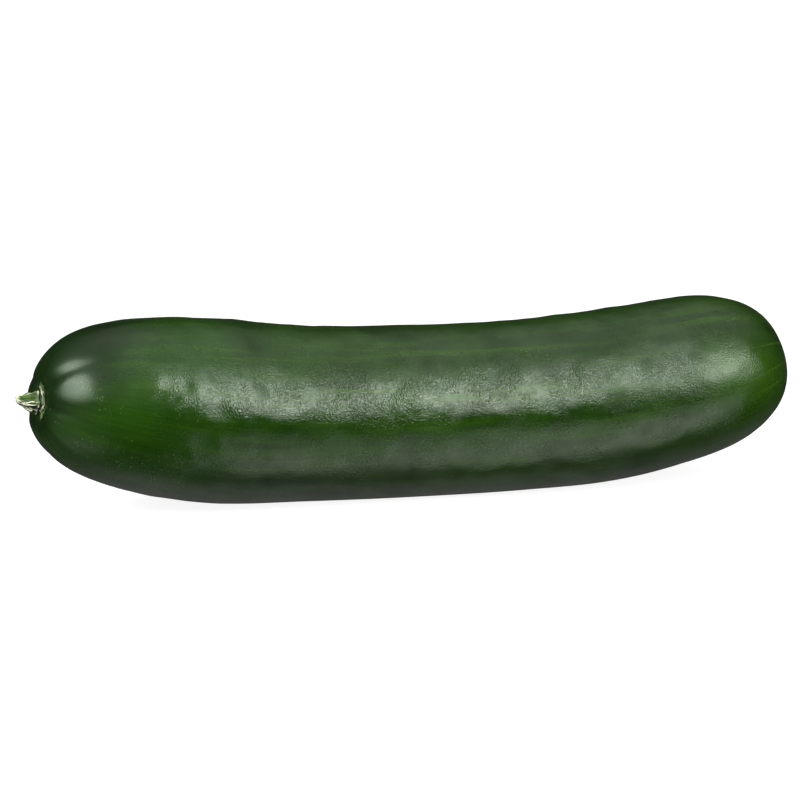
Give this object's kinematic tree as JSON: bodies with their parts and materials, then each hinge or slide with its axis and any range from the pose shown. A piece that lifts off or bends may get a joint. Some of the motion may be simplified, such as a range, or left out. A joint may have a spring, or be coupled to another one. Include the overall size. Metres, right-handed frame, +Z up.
{
  "type": "cucumber",
  "caption": "Whole slicing cucumber with its stem stub, gently curved and resting on its belly; a fresh fruit to lay on a board, in a crate or on a shelf.",
  "frame": {"origin": "on the flat spot of the belly that the fruit rests on, below the middle of its length", "axes": "+X from the stem end to the blossom end, +Z up, +Y to the side away from which the stem end bends"},
  "size_m": [0.2308, 0.0554, 0.0553],
  "materials": {
    "skin": "waxy dark green skin, satin gloss with fine pores, paler lengthwise streaks towards the blossom end",
    "stem": "dry ribbed stem, matte, mid green with cream fibres"
  },
  "bodies": {
    "root": {"fruit": "skin", "stem": "stem"}
  },
  "joints": []
}
